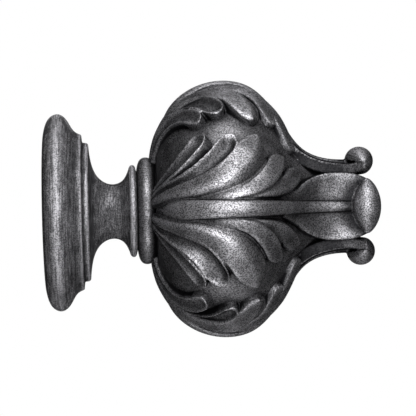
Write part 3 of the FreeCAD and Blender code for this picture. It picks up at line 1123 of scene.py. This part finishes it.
    def build(self, finish: Material) -> None:
        """Carves one leaf, copies it round X and dresses the four.

        Args:
            finish: the material of the leaves.
        """
        leaf = self.carve()
        self.mark(leaf)
        leaf.polygons.foreach_set("use_smooth", np.ones(len(leaf.polygons), bool))
        place = np.empty(len(leaf.vertices) * 3, np.float32)
        leaf.vertices.foreach_get("co", place)
        place = place.reshape(-1, 3)
        x, y, z = place.T
        for turn, name in enumerate(self.names):
            c, s = math.cos(turn * math.pi / 2), math.sin(turn * math.pi / 2)
            spun = np.stack([x, y * c + z * s, z * c - y * s], axis=1)
            mesh = leaf.copy()
            mesh.name = name
            mesh.vertices.foreach_set("co", spun.astype(np.float32).ravel())
            mesh.update()
            dress(link(name, mesh), Node.BULB, finish)
        bpy.data.meshes.remove(leaf)


@dataclass(frozen=True)
class Lamp:
    """Soft rectangular lamp: its place and size in millimetres, its power in watts."""

    name: str
    place: Triple
    size: Pair
    power: float


LAMPS = (
    Lamp("front", (85.0, -640.0, 40.0), (360.0, 400.0), 3.3),
    Lamp("above", (90.0, -320.0, 430.0), (240.0, 240.0), 1.5),
    Lamp("below", (0.0, -300.0, -430.0), (240.0, 240.0), 0.65),
    Lamp("behind", (66.0, 900.0, 60.0), (460.0, 1100.0), 3.4),
)


@dataclass
class Studio:
    """Camera, soft lamps, pale floor, black cards and white surroundings."""

    distance: float = 600.0
    azimuth: float = -3.4
    roll: float = 1.35
    target: Triple = (62.0, 0.0, 0.5)
    sensor_mm: float = 36.0
    field_px: float = 1566.0
    frame_px: float = 416.0
    lamp_aim: Triple = (66.0, 0.0, 0.0)
    fill: float = 0.04
    floor_z: float = -620.0
    floor_radius: float = 4000.0
    floor_steps: int = 64
    flags: tuple[tuple[str, float], ...] = (("flag_left", -170.0), ("flag_right", 300.0))
    flag_y: Pair = (-500.0, 1400.0)
    flag_z: Pair = (-700.0, 700.0)

    def camera(self) -> None:
        """Places the camera at the photograph's angle."""
        data = bpy.data.cameras.new("camera")
        data.sensor_width = self.sensor_mm
        data.lens = self.sensor_mm * self.field_px / self.frame_px
        made = link("camera", data)
        turn = math.radians(self.azimuth)
        x, y, z = self.target
        x, y = x + self.distance * math.sin(turn), y - self.distance * math.cos(turn)
        made.location = (x * MM, y * MM, z * MM)
        made.rotation_euler = (math.pi / 2, math.radians(self.roll), turn)
        bpy.context.scene.camera = made

    def light(self, lamp: Lamp) -> None:
        """Adds a lamp that looks at the finial's middle and that the camera does not see.

        Args:
            lamp: its sizes.
        """
        data = bpy.data.lights.new(lamp.name, "AREA")
        data.shape = "RECTANGLE"
        data.size, data.size_y = lamp.size[0] * MM, lamp.size[1] * MM
        data.energy = lamp.power
        made = link(lamp.name, data)
        start = np.array(lamp.place)
        back = unit(start - np.array(self.lamp_aim))
        made.location = start * MM
        tilt = math.acos(float(back[2]))
        made.rotation_euler = (tilt, 0.0, math.atan2(float(back[0]), -float(back[1])))
        made.visible_camera = False

    def world(self) -> None:
        """White to the camera and in reflections, and a low even light for the rest."""
        world = bpy.data.worlds.new("white_studio")
        bpy.context.scene.world = world
        tree = empty_tree(world)
        path = add_node(tree, "ShaderNodeLightPath", {}, {})
        seen = path.outputs["Is Camera Ray"]
        for ray in ("Is Transmission Ray", "Is Glossy Ray"):
            seen = combine(tree, "MAXIMUM", seen, path.outputs[ray])
        level = add_node(tree, "ShaderNodeMapRange", {}, {0: seen, 3: self.fill, 4: 1.0}).outputs[0]
        white = {"Color": linear("#ffffff"), "Strength": level}
        back = add_node(tree, "ShaderNodeBackground", {}, white)
        add_node(tree, "ShaderNodeOutputWorld", {}, {"Surface": back.outputs[0]})

    def floor(self) -> None:
        """Pale floor well below the finial, lifted to white for the camera; it keeps the shadow."""
        steps, radius = self.floor_steps, self.floor_radius
        a = np.linspace(0.0, 2.0 * np.pi, steps, endpoint=False)
        rim = np.stack([radius * np.cos(a), radius * np.sin(a), np.full(steps, self.floor_z)], axis=-1)
        points = np.concatenate([rim, [[0.0, 0.0, self.floor_z]]])
        made = new_object("floor", points, NO_QUADS, fan(np.arange(steps), steps, False))
        paint = bpy.data.materials.new("pale_floor")
        tree = empty_tree(paint)
        path = add_node(tree, "ShaderNodeLightPath", {}, {})
        matt = add_node(tree, "ShaderNodeBsdfDiffuse", {}, {"Color": linear("#f0f0f0")})
        glow = add_node(tree, "ShaderNodeEmission", {}, {"Strength": path.outputs["Is Camera Ray"]})
        both = add_node(tree, "ShaderNodeAddShader", {}, {0: matt.outputs[0], 1: glow.outputs[0]})
        add_node(tree, "ShaderNodeOutputMaterial", {}, {"Surface": both.outputs[0]})
        made.data.materials.append(paint)

    def flag(self, name: str, x: float) -> None:
        """Adds a black card square to X, out of the picture, that metal turned that way mirrors.

        Args:
            name: its name.
            x: where it stands.
        """
        (near, far), (low, high) = self.flag_y, self.flag_z
        corners = np.array([(x, near, low), (x, far, low), (x, far, high), (x, near, high)])
        made = new_object(name, corners, np.array([[0, 1, 2, 3]]), NO_TRIANGLES)
        paint, _, shader = new_material("black_card")
        shader.inputs["Base Color"].default_value = linear("#101010")
        shader.inputs["Roughness"].default_value = 1.0
        made.data.materials.append(paint)
        made.visible_camera = False
        made.visible_shadow = False

    def build(self) -> None:
        """Sets up the camera, the light and the surroundings."""
        self.camera()
        self.world()
        self.floor()
        for name, x in self.flags:
            self.flag(name, x)
        for lamp in LAMPS:
            self.light(lamp)
        bpy.context.scene.view_settings.view_transform = "Standard"


def main() -> None:
    """Builds the finial piece by piece, then the studio."""
    logging.basicConfig(level=logging.INFO, format="%(message)s")
    cast = CastResinRubbed().material()
    bulb = Bulb()
    TurnedBase().build(TurnedWoodBrushed().material())
    ThreadedInsert().build(TurnedBrass().material())
    bulb.build(cast)
    AcanthusLeaves(bulb).build(cast)
    Studio().build()


if __name__ == "__main__":
    main()
